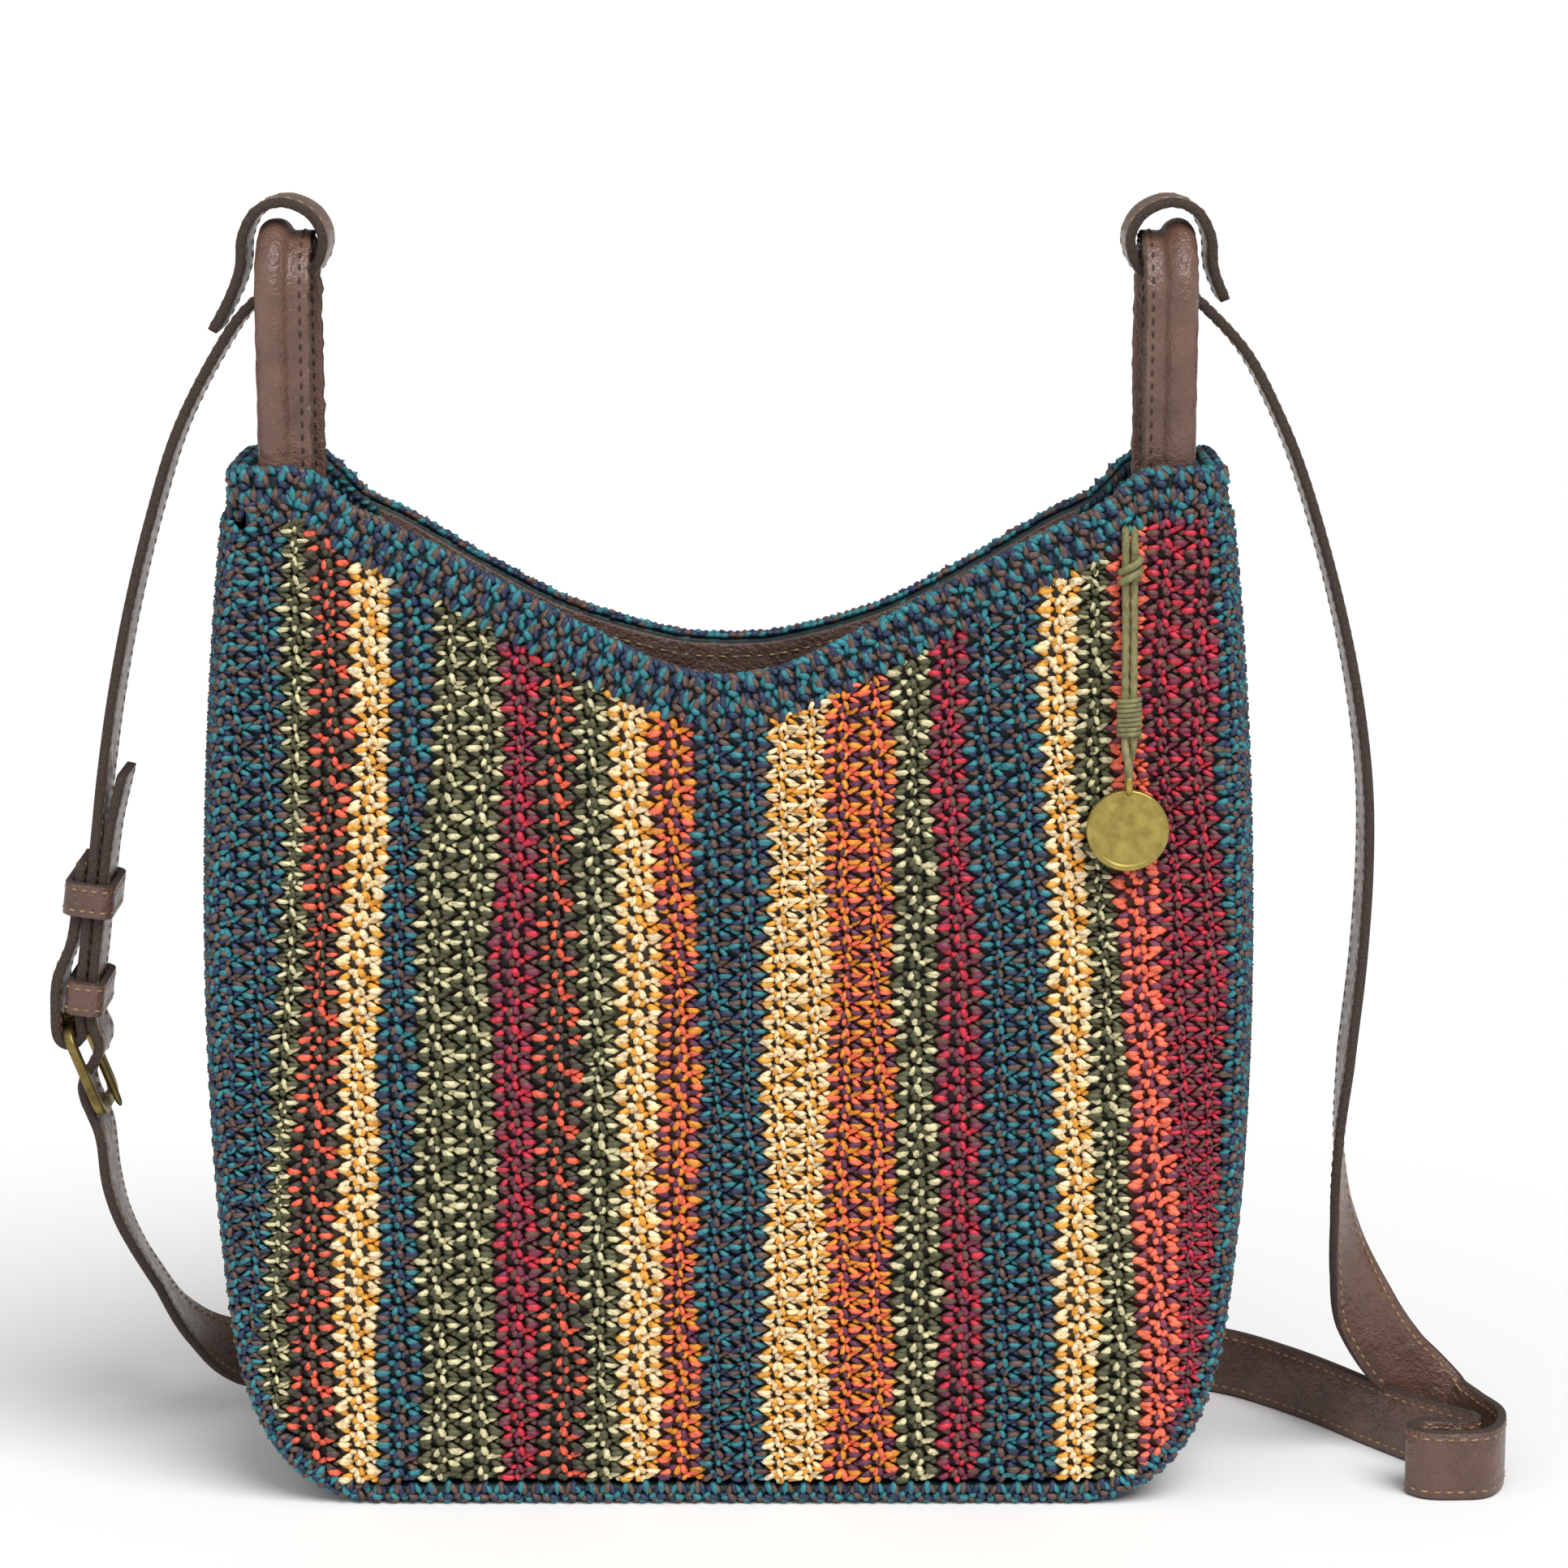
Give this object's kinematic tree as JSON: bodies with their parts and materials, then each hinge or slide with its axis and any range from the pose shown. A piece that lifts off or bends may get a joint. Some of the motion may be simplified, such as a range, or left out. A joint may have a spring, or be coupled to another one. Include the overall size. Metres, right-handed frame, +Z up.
{
  "type": "crochet crossbody bag",
  "caption": "Striped crochet crossbody bag with a dipped open mouth, rolled leather loop handles, a buckled leather strap and a small brass fob.",
  "frame": {"origin": "middle of the flat base, on the surface it stands on", "axes": "+X to the right seen from the front, +Y away from the front, +Z up"},
  "size_m": [0.3784, 0.1047, 0.3352],
  "materials": {
    "crochet_panel": "matt twisted yarn in upright stripes",
    "crochet_edge": "matt twisted yarn",
    "lining_cloth": "matt",
    "facing_leather": "satin",
    "handle_leather": "satin, light sheen",
    "core_cord": "matt",
    "strap_leather": "satin with raw edges",
    "aged_brass": "aged, satin",
    "fob_cord": "matt"
  },
  "bodies": {
    "bag": {"front_panel": "crochet_panel", "back_panel": "crochet_panel", "gusset": "crochet_edge", "front_seam_braid": "crochet_edge", "back_seam_braid": "crochet_edge", "rim_edging": "crochet_edge", "lining": "lining_cloth", "facing_front": "facing_leather", "facing_back": "facing_leather", "handle_cover_left": "handle_leather", "handle_core_left": "core_cord", "handle_cover_right": "handle_leather", "handle_core_right": "core_cord", "buckle_strap": "strap_leather", "hole_strap": "strap_leather", "fixed_keeper": "strap_leather"},
    "keeper": {"sliding_keeper": "strap_leather"},
    "buckle": {"buckle_frame": "aged_brass"},
    "prong": {"buckle_prong": "aged_brass"},
    "fob": {"fob_cord": "fob_cord", "fob_whipping": "fob_cord"},
    "disc": {"fob_disc": "aged_brass"}
  },
  "joints": [
    {"name": "keeper_slide", "type": "slide", "parent": "bag", "child": "keeper", "axis": [0.1322, 0, 0.9912], "range_m": [-0.004, 0.008]},
    {"name": "buckle_tilt", "type": "hinge", "parent": "bag", "child": "buckle", "pos_m": [-0.1699, 0, 0.1214], "axis": [0, -1, 0], "range_deg": [0, 2]},
    {"name": "prong_lift", "type": "hinge", "parent": "buckle", "child": "prong", "pos_m": [-0.1699, 0, 0.1214], "axis": [0, -1, 0], "range_deg": [0, 3]},
    {"name": "fob_swing", "type": "hinge", "parent": "bag", "child": "fob", "pos_m": [0.0998, -0.0258, 0.254], "axis": [0, 1, 0], "range_deg": [-18, 18]},
    {"name": "disc_swing", "type": "hinge", "parent": "fob", "child": "disc", "pos_m": [0.0998, -0.033, 0.1952], "axis": [-1, 0, 0], "range_deg": [-3, 60]}
  ]
}
